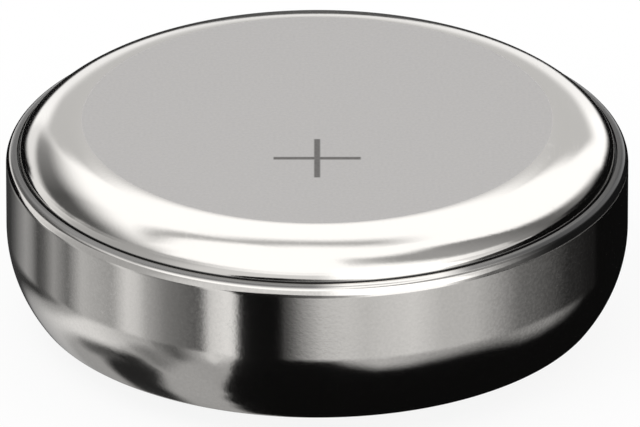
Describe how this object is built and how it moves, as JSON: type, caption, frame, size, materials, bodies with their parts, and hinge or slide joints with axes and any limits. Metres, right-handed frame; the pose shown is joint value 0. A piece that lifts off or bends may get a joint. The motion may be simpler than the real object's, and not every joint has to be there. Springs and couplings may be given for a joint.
{
  "type": "silver oxide button cell",
  "caption": "Round silver oxide button cell: stepped positive can crimped over a nylon gasket and a small negative cap.",
  "frame": {"origin": "centre of the negative contact face, the lowest face, on the cell's axis", "axes": "+Z along the cell's axis from the negative contact to the positive contact; X and Y are free, since the cell is round"},
  "size_m": [0.0058, 0.0058, 0.002],
  "materials": {
    "can_steel": "nickel-plated steel, satin end face, polished shoulder and wall",
    "silver_oxide": "pressed black powder, matt",
    "ring_steel": "nickel-plated steel strip",
    "membrane_film": "translucent film, faintly amber",
    "fleece": "wet-laid fleece",
    "nylon": "natural nylon, slightly green, satin",
    "zinc_gel": "gelled metal powder",
    "cap_nickel": "bright rolled nickel surface"
  },
  "bodies": {
    "root": {"positive_can": "can_steel", "cathode_pellet": "silver_oxide", "support_ring": "ring_steel", "barrier_membrane": "membrane_film", "absorbent_pad": "fleece", "sealing_gasket": "nylon", "zinc_anode": "zinc_gel", "negative_cap": "cap_nickel"}
  },
  "joints": []
}
